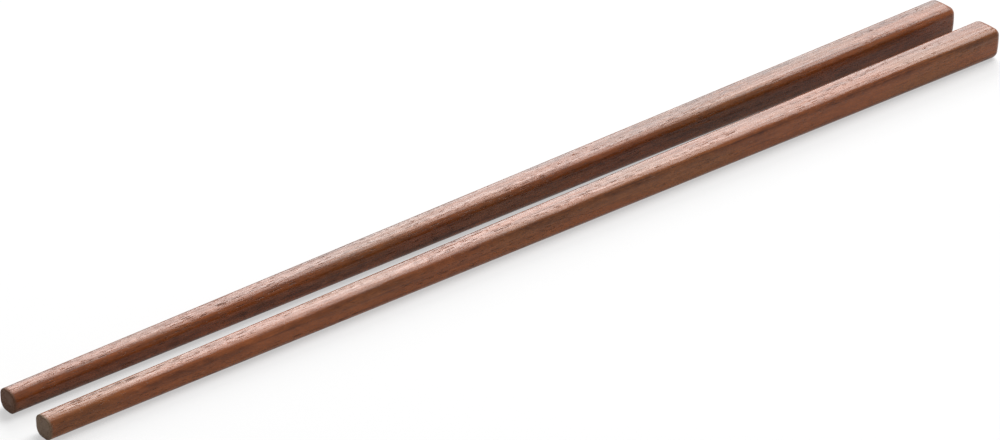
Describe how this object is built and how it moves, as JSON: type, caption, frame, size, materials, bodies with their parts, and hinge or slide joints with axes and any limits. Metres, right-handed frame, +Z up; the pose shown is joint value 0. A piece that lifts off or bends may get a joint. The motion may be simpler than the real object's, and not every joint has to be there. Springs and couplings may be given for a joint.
{
  "type": "pair of wooden chopsticks",
  "caption": "Tapered wooden chopsticks with square, soft-edged handles and slim, nearly round tips, lying side by side, for picking up food.",
  "frame": {"origin": "on the surface that the sticks lie on, under the middle of the pair's bounding box", "axes": "+X along the sticks from the tips to the handles, +Y from the front stick to the rear one, +Z up"},
  "size_m": [0.2401, 0.0198, 0.007],
  "materials": {
    "dark_wood": "satin, clear coated"
  },
  "bodies": {
    "root": {"front_chopstick": "dark_wood", "rear_chopstick": "dark_wood"}
  },
  "joints": []
}
